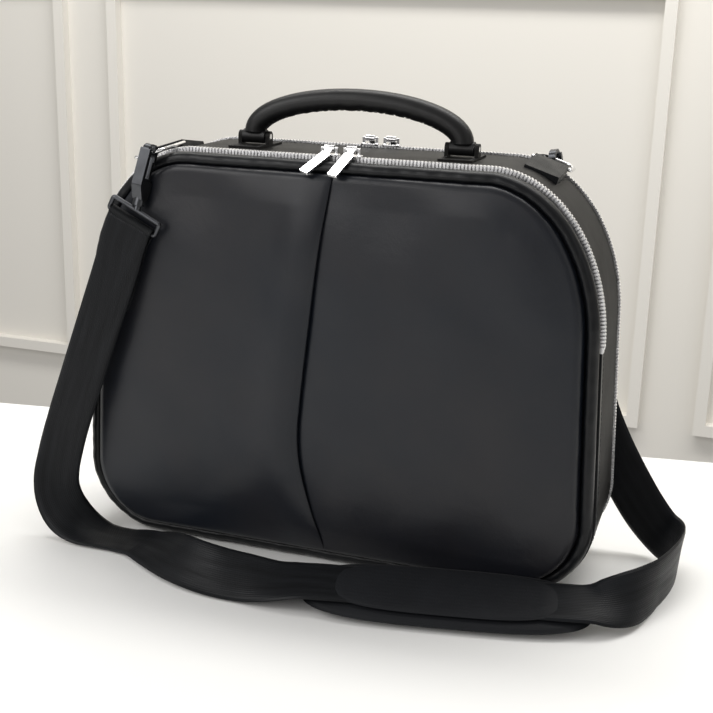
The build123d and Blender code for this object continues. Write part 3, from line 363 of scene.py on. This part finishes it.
SLOT_MATERIALS = {
    "panel_leather": LEATHER_FRONT, "edge_leather": LEATHER_EDGE, "gusset_leather": LEATHER_GUSSET,
    "grip_leather": LEATHER_GRIP, "zip_metal": TEETH, "zip_tape": TAPE, "lining": LINING,
    "board": BOARD, "core_rubber": RUBBER, "polished_metal": POLISHED, "gunmetal": GUNMETAL,
    "webbing": LOOP_CLOTH, "pad_fabric": PAD_CLOTH,
}


def paint(obj, *materials):
    """Give an object these materials and nothing else."""
    obj.data.materials.clear()
    for material in materials:
        obj.data.materials.append(material)


def dress_cad():
    """Every CAD node takes its record slot's finish."""
    for row in frame["record"]["subparts"]:
        node = nodes[row["node"]]
        paint(node, SLOT_MATERIALS[row["material_slot"]])


dress_cad()


# ---------------------------------------------------------------- shoulder strap, the one cord
def strap_curve():
    """Points along the strap's open NURBS centre line, whose control points are the route's."""
    data = bpy.data.curves.new("strap_line", "CURVE")
    data.dimensions = "3D"
    data.resolution_u = 8
    spline = data.splines.new("NURBS")
    spline.points.add(len(STRAP_STATIONS) - 1)
    for point, (centre, _) in zip(spline.points, STRAP_STATIONS):
        point.co = (*centre, 1)
    spline.order_u = 3
    spline.use_endpoint_u = True
    made = bpy.data.objects.new("strap_line", data)
    bpy.context.collection.objects.link(made)
    line = bpy.data.meshes.new_from_object(made)
    points = np.array([v.co for v in line.vertices])
    bpy.data.objects.remove(made)
    return points


def strap_frames(line):
    """Centre, width and face direction at each point of the line."""
    stations = np.array([c for c, _ in STRAP_STATIONS])
    across = np.array([a for _, a in STRAP_STATIONS])
    run = np.gradient(line, axis=0)
    run /= np.linalg.norm(run, axis=1)[:, None]
    made_along = np.concatenate([[0], np.cumsum(np.linalg.norm(np.diff(line, axis=0), axis=1))])
    told_along = np.concatenate([[0], np.cumsum(np.linalg.norm(np.diff(stations, axis=0), axis=1))])
    share = made_along / made_along[-1] * told_along[-1]
    width = np.column_stack([np.interp(share, told_along, across[:, k]) for k in range(3)])
    width -= run * np.sum(width * run, axis=1)[:, None]
    width /= np.linalg.norm(width, axis=1)[:, None]
    return made_along, width, np.cross(run, width)


def make_strap():
    """Flat webbing with rounded selvedges and a slight cup across its width."""
    line = strap_curve()
    along, width, face = strap_frames(line)
    across = np.linspace(-1, 1, 15)
    points, uv = [], []
    for i, centre in enumerate(line):
        cup = 0.5 * MM * math.sin(along[i] * 19)
        ring = []
        for side in (1, -1):
            for s in across * side:
                thin = math.sqrt(max(0.0, 1 - abs(s) ** 14)) * 0.9 + 0.1
                lift = side * STRAP_THICK / 2 * thin + cup * (s * s - 0.4)
                ring.append((centre + width[i] * s * STRAP_WIDTH / 2 + face[i] * lift, s))
        for p, s in ring:
            points.append(p)
            uv.append((s * STRAP_WIDTH / 2, along[i]))
    columns = 2 * len(across)
    faces = grid_faces(len(line), columns, close_columns=True)
    faces += [tuple(range(columns))[::-1], tuple(range(len(points) - columns, len(points)))]
    strap = mesh_object("shoulder_strap_webbing", points, faces, uv)
    paint(strap, STRAP_CLOTH)
    return strap, line


strap, strap_line = make_strap()
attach(strap, "case")
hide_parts("shoulder_strap")


# ---------------------------------------------------------------- soft panels
PLEAT = [(0.308, 0.004), (0.248, -0.006), (0.205, -0.012), (0.162, -0.017), (0.128, -0.020),
         (0.102, -0.022), (0.076, -0.019), (0.046, -0.010), (0.018, 0.002), (0.0, 0.006)]   # z, x
PLEAT_SMOOTHING = 9 * MM


def pleat_x(z):
    """Place of the front dart at height z, with its corners smoothed."""
    heights = [h for h, _ in reversed(PLEAT)]
    places = [x for _, x in reversed(PLEAT)]
    low, high = z - PLEAT_SMOOTHING, z + PLEAT_SMOOTHING
    return (np.interp(low, heights, places) + np.interp(z, heights, places)
            + np.interp(high, heights, places)) / 3


def inside_rim(flat):
    """Distance of each (x, z) point from the panel's rim."""
    rim, _, _ = outline(EDGE_INSET, 3 * MM)
    closed = np.vstack([rim, rim[:1]])
    gap = np.full(len(flat), np.inf)
    for a, b in zip(closed[:-1], closed[1:]):
        t = np.clip(((flat - a) @ (b - a)) / ((b - a) @ (b - a)), 0, 1)
        gap = np.minimum(gap, np.linalg.norm(flat - a - t[:, None] * (b - a), axis=1))
    return gap


def slack_waves(x, z, gap):
    """Slack leather: broad waves below the top seam and along the bottom, small ones all over."""
    upper = 1.9 * MM * np.sin(x * 44 + z * 31 + 0.6) * np.clip((z - 0.19) / 0.10, 0, 1)
    lower = 1.3 * MM * np.sin(x * 27 - z * 33 + 1.9) * np.clip((0.12 - z) / 0.09, 0, 1)
    small = 0.35 * MM * np.sin(x * 83 + 5 * z + np.sin(z * 60) * 1.3)
    return (upper + lower + small) * np.clip(gap / (22 * MM), 0, 1)


def dart(x, z, is_left):
    """Depth and sideways change of the sewn dart: a roll that laps over a valley on its right."""
    open_share = np.sin(np.clip((z - 14 * MM) / (294 * MM), 0, 1) * np.pi) ** 0.55
    off = x - pleat_x(z)
    roll = np.exp(-((off + 16 * MM) / (17 * MM)) ** 2)
    valley = np.exp(-np.clip(off, 0, 1) / (17 * MM))
    lip = np.clip(1 + off / (7 * MM), 0, 1) * is_left
    depth = np.where(is_left, 4.4 * MM * roll, -6.2 * MM * valley + 1.8 * MM * valley ** 0.3)
    depth -= 2.2 * MM * lip ** 3
    shift = np.where(is_left, 3.4 * MM * lip ** 2, -1.2 * MM * valley ** 4)
    return depth * open_share, shift * open_share


def soft_panel(name, side, inner_y, face_y, rim_radius, crown, pleated):
    """One stretched leather panel: rounded rim, crowned face and, in front, a sewn dart."""
    rows, half = 110, 64
    columns = 2 * half if pleated else 2 * half - 1
    bottom, top = EDGE_INSET, HEIGHT - EDGE_INSET
    heights = bottom + (top - bottom) * (0.5 - 0.5 * np.cos(np.linspace(0.02, np.pi - 0.02, rows)))
    shares = np.linspace(0, 1, half) ** 1.35       # finer next to the dart
    points = []
    for z in heights:
        edge = half_width(z, EDGE_INSET)
        mid = float(pleat_x(z)) if pleated else 0.0
        left = [-edge + (mid + edge) * (1 - s) for s in shares[::-1]]
        right = [mid + (edge - mid) * s for s in shares[0 if pleated else 1:]]
        points += [[x, 0.0, z] for x in left + right]
    points = np.array(points)
    x, z = points[:, 0].copy(), points[:, 2]
    gap = inside_rim(points[:, [0, 2]])
    depth = inner_y + (face_y - inner_y - rim_radius) * np.clip(gap / (0.4 * MM), 0, 1)
    depth += rim_radius * np.sqrt(1 - (1 - np.clip(gap / rim_radius, 0, 1)) ** 2)
    depth += crown * (1 - (1 - np.clip(gap / (95 * MM), 0, 1)) ** 2.2)
    depth += slack_waves(x, z, gap)
    if pleated:
        is_left = np.arange(len(points)) % columns < half
        dart_depth, dart_shift = dart(x, z, is_left)
        depth += dart_depth
        points[:, 0] += dart_shift
    points[:, 1] = side * depth
    faces = grid_faces(rows, columns)
    if side > 0:
        faces = [tuple(reversed(f)) for f in faces]
    panel = mesh_object(name, points, faces)
    shell = panel.modifiers.new("thickness", "SOLIDIFY")
    shell.thickness, shell.offset, shell.material_offset = 2.0 * MM, -1, 1
    paint(panel, LEATHER_FRONT, LINING)
    return panel


def bend_panel(panel, fold, nodes_hidden):
    """The panel's placement is baked into its mesh and the CAD nodes it stands in for are hidden; the fold's
    direction across the panel is worked out but not used, and the panel is not bent.
    """
    (x0, z0), (x1, z1) = fold
    across = Vector((-(z1 - z0), 0, x1 - x0)).normalized()
    across = across if across.z > 0 else -across
    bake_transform(panel)
    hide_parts(*nodes_hidden)


front = soft_panel("front_panel_leather", -1, inner_y=51.5 * MM, face_y=60.5 * MM,
                   rim_radius=5.0 * MM, crown=5.5 * MM, pleated=True)
bend_panel(front, FRONT_FOLD, ["front_panel", "front_panel_flap"])
back = soft_panel("back_panel_leather", 1, inner_y=48.5 * MM, face_y=56.5 * MM,
                  rim_radius=5.5 * MM, crown=3.0 * MM, pleated=False)
bend_panel(back, BACK_FOLD, ["back_panel_lower", "back_panel_flap"])


# ---------------------------------------------------------------- rolled edge strips
FRONT_ROLL = [(5.2, 45.3), (3.9, 45.4), (2.7, 46.3), (1.6, 48.2), (1.2, 50.6), (1.8, 53.2), (3.7, 55.6),
              (6.4, 56.5), (8.8, 55.6), (10.2, 53.4), (10.4, 50.0)]     # inset and depth, millimetres
BACK_ROLL = [(4.6, 45.2), (2.6, 45.3), (1.2, 46.0), (0.6, 47.4), (1.0, 49.6), (2.9, 51.6),
             (6.0, 52.3), (8.8, 51.4), (10.2, 49.6), (10.4, 48.8)]


def smooth_section(corners, steps):
    """Rounded section through its corner points, as a Catmull-Rom curve."""
    c = np.array([corners[0]] + list(corners) + [corners[-1]], float)
    out = []
    for i in range(1, len(c) - 2):
        for t in np.arange(steps) / steps:
            out.append(0.5 * (2 * c[i] + (c[i + 1] - c[i - 1]) * t
                              + (2 * c[i - 1] - 5 * c[i] + 4 * c[i + 1] - c[i + 2]) * t * t
                              + (3 * c[i] - c[i - 1] - 3 * c[i + 1] + c[i + 2]) * t ** 3))
    return np.array(out + [c[-1]]) * MM


def edge_roll(name, side, corners, fold, hidden):
    """Leather rolled round the panel's edge, slightly uneven; it is not bent at the fold."""
    section = smooth_section(corners, 3)
    middle, normals, _ = outline(0.0, 4 * MM)
    root_y = 45.2 * MM
    floor_gap = 0.3 * MM
    points = []
    for i, (p, n) in enumerate(zip(middle, normals)):
        slack = 1 + 0.05 * math.sin(i * 0.61) * math.sin(i * 0.17 + 1) + 0.03 * math.sin(i * 1.9)
        for inset, depth in section:
            x, z = p - n * inset
            points.append((x, side * (root_y + (depth - root_y) * slack), max(z, floor_gap)))
    faces = grid_faces(len(middle), len(section), close_rows=True)
    if side < 0:
        faces = [tuple(reversed(f)) for f in faces]
    roll = mesh_object(name, points, faces)
    paint(roll, LEATHER_EDGE)
    bend_panel(roll, fold, hidden)


edge_roll("front_edge_roll", -1, FRONT_ROLL, FRONT_FOLD, ["front_strip", "front_strip_flap"])
edge_roll("back_edge_roll", 1, BACK_ROLL, BACK_FOLD, ["back_strip_lower", "back_strip_flap"])


# ---------------------------------------------------------------- zips, tooth by tooth
TOOTH_PITCH, TOOTH_RUN = 2.6 * MM, 1.5 * MM
TOOTH_LEVELS = ((0.14 * MM, -1.5 * MM), (0.0, -1.0 * MM), (0.0, 3.6 * MM))      # trim at each end, inset
TAPE_EDGE_INSET, TAPE_EDGE_THICK = 3.2 * MM, 0.8 * MM


def teeth(name, side, root_y, tip_y, keep, shift):
    """Row of metal teeth along the outline, where keep(points) is true, every second place from shift."""
    middle, normals, runs = outline(0.0, TOOTH_PITCH / 2)
    middle, normals, runs = middle[shift::2], normals[shift::2], runs[shift::2]
    points, faces = [], []
    for (x, z), n, r in zip(middle, normals, runs):
        if not keep(np.array([[x, z]]))[0]:
            continue
        start = len(points)
        for trim, inset in TOOTH_LEVELS:
            for end in (-1, 1):
                reach = end * (TOOTH_RUN / 2 - trim)
                for y in (root_y, tip_y) if end < 0 else (tip_y, root_y):
                    points.append((x - n[0] * inset + r[0] * reach, side * y,
                                   z - n[1] * inset + r[1] * reach))
        for k in (0, 4):
            for j in range(4):
                faces.append((start + k + j, start + k + (j + 1) % 4,
                              start + k + 4 + (j + 1) % 4, start + k + 4 + j))
        faces.append((start + 3, start + 2, start + 1, start))
        faces.append((start + 8, start + 9, start + 10, start + 11))
    row = mesh_object(name, points, faces, smooth=False)
    paint(row, TEETH)
    return row


def beading(name, side, y0, y1, keep):
    """Woven tape edge that holds one row of teeth, as a band along the outline."""
    middle, normals, _ = outline(0.0, 3 * MM)
    top, bottom = TAPE_EDGE_INSET, TAPE_EDGE_INSET + TAPE_EDGE_THICK
    kept = keep(middle)
    points, faces = [], []
    for i in range(len(middle)):
        for y, inset in ((y0, top), (y1, top), (y1, bottom), (y0, bottom)):
            x, z = middle[i] - normals[i] * inset
            points.append((x, side * y, z))
        j = (i + 1) % len(middle)
        if kept[i] and kept[j]:
            for k in range(4):
                m = (k + 1) % 4
                faces.append((4 * i + k, 4 * i + m, 4 * j + m, 4 * j + k))
    band = mesh_object(name, points, faces, smooth=False)
    paint(band, TAPE)
    return band


def make_zip(prefix, side, fold, end_z, flap):
    """The two rows of one zip, the panel's row split between the case and the flap."""
    def above(points):
        return points[:, 1] > end_z

    def fixed(points):
        return above(points) & (fold_side(points, fold) < 0)

    def lifted(points):
        return above(points) & (fold_side(points, fold) >= 0)

    body_side = (39.0, 41.95, 38.9, 40.4)       # teeth from root to tip, then the tape's edge, in mm
    panel_side = (45.2, 42.05, 43.6, 45.2)
    for part, keep, body, shift, (root, tip, low, high) in (("body", above, "case", 0, body_side),
                                                            ("fixed", fixed, "case", 1, panel_side),
                                                            ("flap", lifted, flap, 1, panel_side)):
        row = teeth(f"{prefix}_teeth_{part}", side, root * MM, tip * MM, keep, shift)
        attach(row, body)
        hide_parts(f"{prefix}_zip_row_{part}")
        edge = beading(f"{prefix}_tape_edge_{part}", side, low * MM, high * MM, keep)
        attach(edge, body)


make_zip("front", -1, FRONT_FOLD, FRONT_ZIP_END, "front_flap")
make_zip("back", 1, BACK_FOLD, BACK_ZIP_END, "back_flap")


# ---------------------------------------------------------------- carry handle
GRIP_FOOT_Z, GRIP_TOP_Z, GRIP_LEG_X, GRIP_RADIUS = 319 * MM, 346 * MM, 81 * MM, 8 * MM


def grip_point(turn, radius, round_about):
    """Point on the handle's skin: turn along the arch, round_about round the bar, 0 at the outside."""
    rise = GRIP_TOP_Z - GRIP_FOOT_Z
    centre = Vector((GRIP_LEG_X * math.cos(turn), 0, GRIP_FOOT_Z + rise * math.sin(turn)))
    out = Vector((rise * math.cos(turn), 0, GRIP_LEG_X * math.sin(turn))).normalized()
    return centre + (out * math.cos(round_about) + Vector((0, 1, 0)) * math.sin(round_about)) * radius


def handle_cover():
    """Rolled leather, gathered into small puckers along the sewn underside."""
    rows, columns = 260, 40
    points = []
    for i in range(rows):
        turn = math.pi * i / (rows - 1)
        along = i / (rows - 1)
        for j in range(columns):
            about = 2 * math.pi * j / columns
            under = max(0.0, -math.cos(about)) ** 3
            middle = math.sin(turn) ** 0.6
            pucker = 0.45 * MM * under * middle * math.sin(along * 150 + 2.2 * math.sin(along * 31))
            seam = 0.7 * MM * math.exp(-((about - math.pi) / 0.12) ** 2)
            points.append(grip_point(turn, GRIP_RADIUS + pucker - seam, about))
    faces = grid_faces(rows, columns, close_columns=True)
    faces += [tuple(range(columns))[::-1], tuple(range(len(points) - columns, len(points)))]
    cover = mesh_object("handle_leather", points, faces)
    paint(cover, LEATHER_GRIP)
    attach(cover, "handle")
    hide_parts("handle_grip")


STITCH_SIZE = (2.6 * MM, 0.75 * MM, 0.5 * MM)      # length, width, height
STITCH_PITCH = 3.4 * MM
GUSSET_STITCH_Y = 36.6 * MM
TAB_STITCH_Z, TAB_STITCH_INSET = HEIGHT + 1.6 * MM, 2.2 * MM
EAR_GAP = 6 * MM            # no stitches this near the middle of a tab's sides
LOOP_X, LOOP_GAP = 139.5 * MM, 18 * MM


def stitch_row(name, places, body):
    """Short threads at (place, run, out) triples, riding on one body."""
    length, width, height = STITCH_SIZE
    points, faces = [], []
    for place, run, out in places:
        side = run.cross(out)
        start = len(points)
        for share, up in ((1.0, -0.3), (1.0, 0.25), (0.55, 0.55)):
            for a, b in ((-1, -1), (1, -1), (1, 1), (-1, 1)):
                points.append(place + run * (a * length / 2 * (0.6 + 0.4 * share))
                              + side * (b * width / 2 * share) + out * (up * height))
        for k in (0, 4):
            for j in range(4):
                faces.append((start + k + j, start + k + (j + 1) % 4,
                              start + k + 4 + (j + 1) % 4, start + k + 4 + j))
        faces.append((start + 8, start + 9, start + 10, start + 11))
    row = mesh_object(name, points, faces)
    paint(row, THREAD)
    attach(row, body)


def handle_seam():
    """Two rows of stitches either side of the handle's underside seam."""
    for name, about in (("handle_stitches_front", math.pi - 0.34), ("handle_stitches_back", math.pi + 0.34)):
        places = []
        for turn in np.linspace(0.32, math.pi - 0.32, 46):
            here = grip_point(turn, GRIP_RADIUS, about)
            ahead = grip_point(turn + 0.01, GRIP_RADIUS, about)
            inner = grip_point(turn, 0.0, about)
            places.append((here, (ahead - here).normalized(), (here - inner).normalized()))
        stitch_row(name, places, "handle")


def tab_stitches():
    """Stitches round each leather tab under the handle."""
    for side, name in ((-1, "handle_tab_stitches_left"), (1, "handle_tab_stitches_right")):
        low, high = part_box("handle_tab_left" if side < 0 else "handle_tab_right")
        top, inset = TAB_STITCH_Z, TAB_STITCH_INSET
        places = []
        for y in np.arange(low.y + inset, high.y - inset + 1e-6, STITCH_PITCH):
            for x in (low.x + inset, high.x - inset):
                if abs(y) > EAR_GAP:
                    places.append((Vector((x, y, top)), Vector((0, 1, 0)), Vector((0, 0, 1))))
        for x in np.arange(low.x + 2 * inset, high.x - 2 * inset + 1e-6, STITCH_PITCH):
            for y in (low.y + inset, high.y - inset):
                places.append((Vector((x, y, top)), Vector((1, 0, 0)), Vector((0, 0, 1))))
        stitch_row(name, places, "case")


def clear_of_loops(x, z):
    """True off the floor and away from the strap loops on the top."""
    near_loop = z > 290 * MM and abs(abs(x) - LOOP_X) < LOOP_GAP
    return z > 4 * MM and not near_loop


def band_stitches(name, y):
    """Stitches along the outline at depth y, on the gusset's outer face."""
    middle, normals, runs = outline(0.0, 4 * MM)
    places = []
    for (x, z), n, r in zip(middle, normals, runs):
        if clear_of_loops(x, z):
            places.append((Vector((x, y, z)), Vector((r[0], 0, r[1])), Vector((n[0], 0, n[1]))))
    stitch_row(name, places, "case")


handle_cover()
handle_seam()
tab_stitches()
band_stitches("gusset_stitches_front", -GUSSET_STITCH_Y)
band_stitches("gusset_stitches_back", GUSSET_STITCH_Y)


# ---------------------------------------------------------------- shoulder pad and sleeve
PAD_CENTRE = Vector((109.6, -101.8, 8.9)) * MM
PAD_ALONG = Vector((0.981, 0.193, 0))
PAD_TILT = math.radians(17)
PAD_ACROSS = Vector((-0.193 * math.cos(PAD_TILT), 0.981 * math.cos(PAD_TILT), math.sin(PAD_TILT)))
PAD_UP = PAD_ALONG.cross(PAD_ACROSS)


def pillow(name, length, width, low, high, ridges=()):
    """Closed cushion on the pad's plane with a soft rim, a crowned top and sewn ridges."""
    rings, turns = 26, 160
    power = 2 / 3.2         # squareness of the cushion's outline
    middle = (low + high) / 2
    points = []
    layers = [(t, -1) for t in np.linspace(0.03, 1, rings)] + [(t, 1) for t in np.linspace(1, 0.03, rings)]
    for scale, face in layers:
        for j in range(turns):
            a = 2 * math.pi * j / turns
            c, s = math.cos(a), math.sin(a)
            u = math.copysign(abs(c) ** power, c) * length / 2
            v = math.copysign(abs(s) ** power, s) * width / 2
            shell = 1 - scale ** 7
            w = middle + face * (high - low) / 2 * (shell ** 0.5 * 0.82 + 0.18 * (1 - scale))
            u, v = u * scale, v * scale
            if face > 0:
                for at, tall in ridges:
                    w += tall * math.exp(-((u - at) / (1.6 * MM)) ** 2) * (shell > 0)
            points.append(PAD_CENTRE + PAD_ALONG * u + PAD_ACROSS * v + PAD_UP * w)
    faces = grid_faces(len(layers), turns, close_columns=True)
    faces += [tuple(range(turns))[::-1], tuple(range(len(points) - turns, len(points)))]
    made = mesh_object(name, points, faces)
    paint(made, PAD_CLOTH)
    return made


pad = pillow("shoulder_pad_cushion", 205 * MM, 58 * MM, 0.2 * MM, 8.6 * MM)
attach(pad, "case")
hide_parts("shoulder_pad")
sleeve = pillow("pad_sleeve_cover", 160 * MM, 46 * MM, 8.0 * MM, 12.4 * MM,
                ridges=((70 * MM, 0.5 * MM), (66 * MM, 0.5 * MM), (-72 * MM, 0.5 * MM)))
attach(sleeve, "case")
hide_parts("pad_sleeve")


# ---------------------------------------------------------------- surroundings
def flat_box(name, low, high, material):
    """Box between two corners, part of the set."""
    corners = [(x, y, z) for x in (low[0], high[0]) for y in (low[1], high[1]) for z in (low[2], high[2])]
    faces = [(0, 1, 3, 2), (4, 6, 7, 5), (0, 4, 5, 1), (2, 3, 7, 6), (0, 2, 6, 4), (1, 5, 7, 3)]
    made = mesh_object(name, corners, faces, smooth=False)
    paint(made, material)
    return made


def plaster(name, color, rough):
    """Painted surface with a faint roller texture."""
    made, tree, shader = new_material(name)
    place = tree.nodes.new("ShaderNodeTexCoord").outputs["Object"]
    mottle = add(tree, "ShaderNodeTexNoise", Scale=90.0, Detail=4.0)
    tree.links.new(place, mottle.inputs["Vector"])
    shader.inputs["Base Color"].default_value = (*color, 1)
    shader.inputs["Roughness"].default_value = rough
    bump_chain(tree, shader, [(mottle.outputs["Fac"], 0.05, 0.0005)])
    return made


WALL_Y = 2.2
TABLE_TURN = math.radians(8.9)       # its far edge isn't square to the bag
TABLE_BACK_Y = 0.240                 # where the far edge crosses the bag's middle
TABLE_TOP = plaster("table_paint", (0.86, 0.86, 0.85), 0.5)
WALL = plaster("wall_paint", (0.82, 0.795, 0.745), 0.7)
table = flat_box("table", (-3.0, -2.6, -0.03), (3.0, 0.0, 0.0), TABLE_TOP)
table.rotation_euler.z = TABLE_TURN
table.location.y = TABLE_BACK_Y
flat_box("wall", (-5, WALL_Y, -2.5), (5, WALL_Y + 0.05, 3), WALL)
MOULDING_BAR, MOULDING_DEPTH = 0.03, 0.03


def moulding_frame(x_low, x_high, z_low, z_high):
    """Raised frame on the wall, made of four bars that meet without overlapping."""
    bar = MOULDING_BAR
    for low, high in (((x_low, z_low), (x_high, z_low + bar)), ((x_low, z_high - bar), (x_high, z_high)),
                      ((x_low, z_low + bar), (x_low + bar, z_high - bar)),
                      ((x_high - bar, z_low + bar), (x_high, z_high - bar))):
        flat_box(f"moulding_{x_low:.1f}_{low[0]:.2f}_{low[1]:.2f}_{high[1]:.2f}".replace("-", "m"),
                 (low[0], WALL_Y - MOULDING_DEPTH, low[1]), (high[0], WALL_Y, high[1]), WALL)


moulding_frame(-3.4, -1.62, -0.62, 0.49)
moulding_frame(-1.48, 0.06, -0.62, 0.49)
moulding_frame(0.20, 1.9, -0.62, 0.49)
moulding_frame(-3.4, 1.9, 0.58, 1.6)


def area_light(name, place, aim, size, power, color):
    """Soft rectangular light aimed at a point."""
    data = bpy.data.lights.new(name, "AREA")
    data.shape, data.size, data.size_y = "RECTANGLE", size[0], size[1]
    data.energy, data.color = power, color
    made = bpy.data.objects.new(name, data)
    made.location = place
    made.rotation_mode = "QUATERNION"
    made.rotation_quaternion = (Vector(aim) - Vector(place)).to_track_quat("-Z", "Y")
    bpy.context.collection.objects.link(made)


area_light("window", (-1.5, -1.5, 1.7), (0, 0, 0.15), (1.5, 1.1), 24, (1.0, 0.99, 0.975))
area_light("overhead", (0.2, 0.5, 2.0), (0, 0, 0.1), (1.8, 1.1), 13, (1.0, 0.99, 0.98))
area_light("glow", (-0.5, -1.45, 0.62), (0.05, -0.06, 0.28), (0.9, 0.45), 4, (1.0, 0.98, 0.97))
area_light("fill", (1.9, -0.6, 0.9), (0, 0, 0.2), (1.0, 1.0), 1.5, (1.0, 0.98, 0.96))
area_light("wall_wash", (0.2, 0.9, 2.4), (0.1, 2.2, 0.0), (4.2, 0.7), 74, (1.0, 0.985, 0.95))

world = bpy.data.worlds.new("room")
world.use_nodes = True
world.node_tree.nodes["Background"].inputs["Color"].default_value = (1.0, 0.985, 0.96, 1)
world.node_tree.nodes["Background"].inputs["Strength"].default_value = 0.36
bpy.context.scene.world = world
bpy.context.scene.view_settings.view_transform = "Standard"
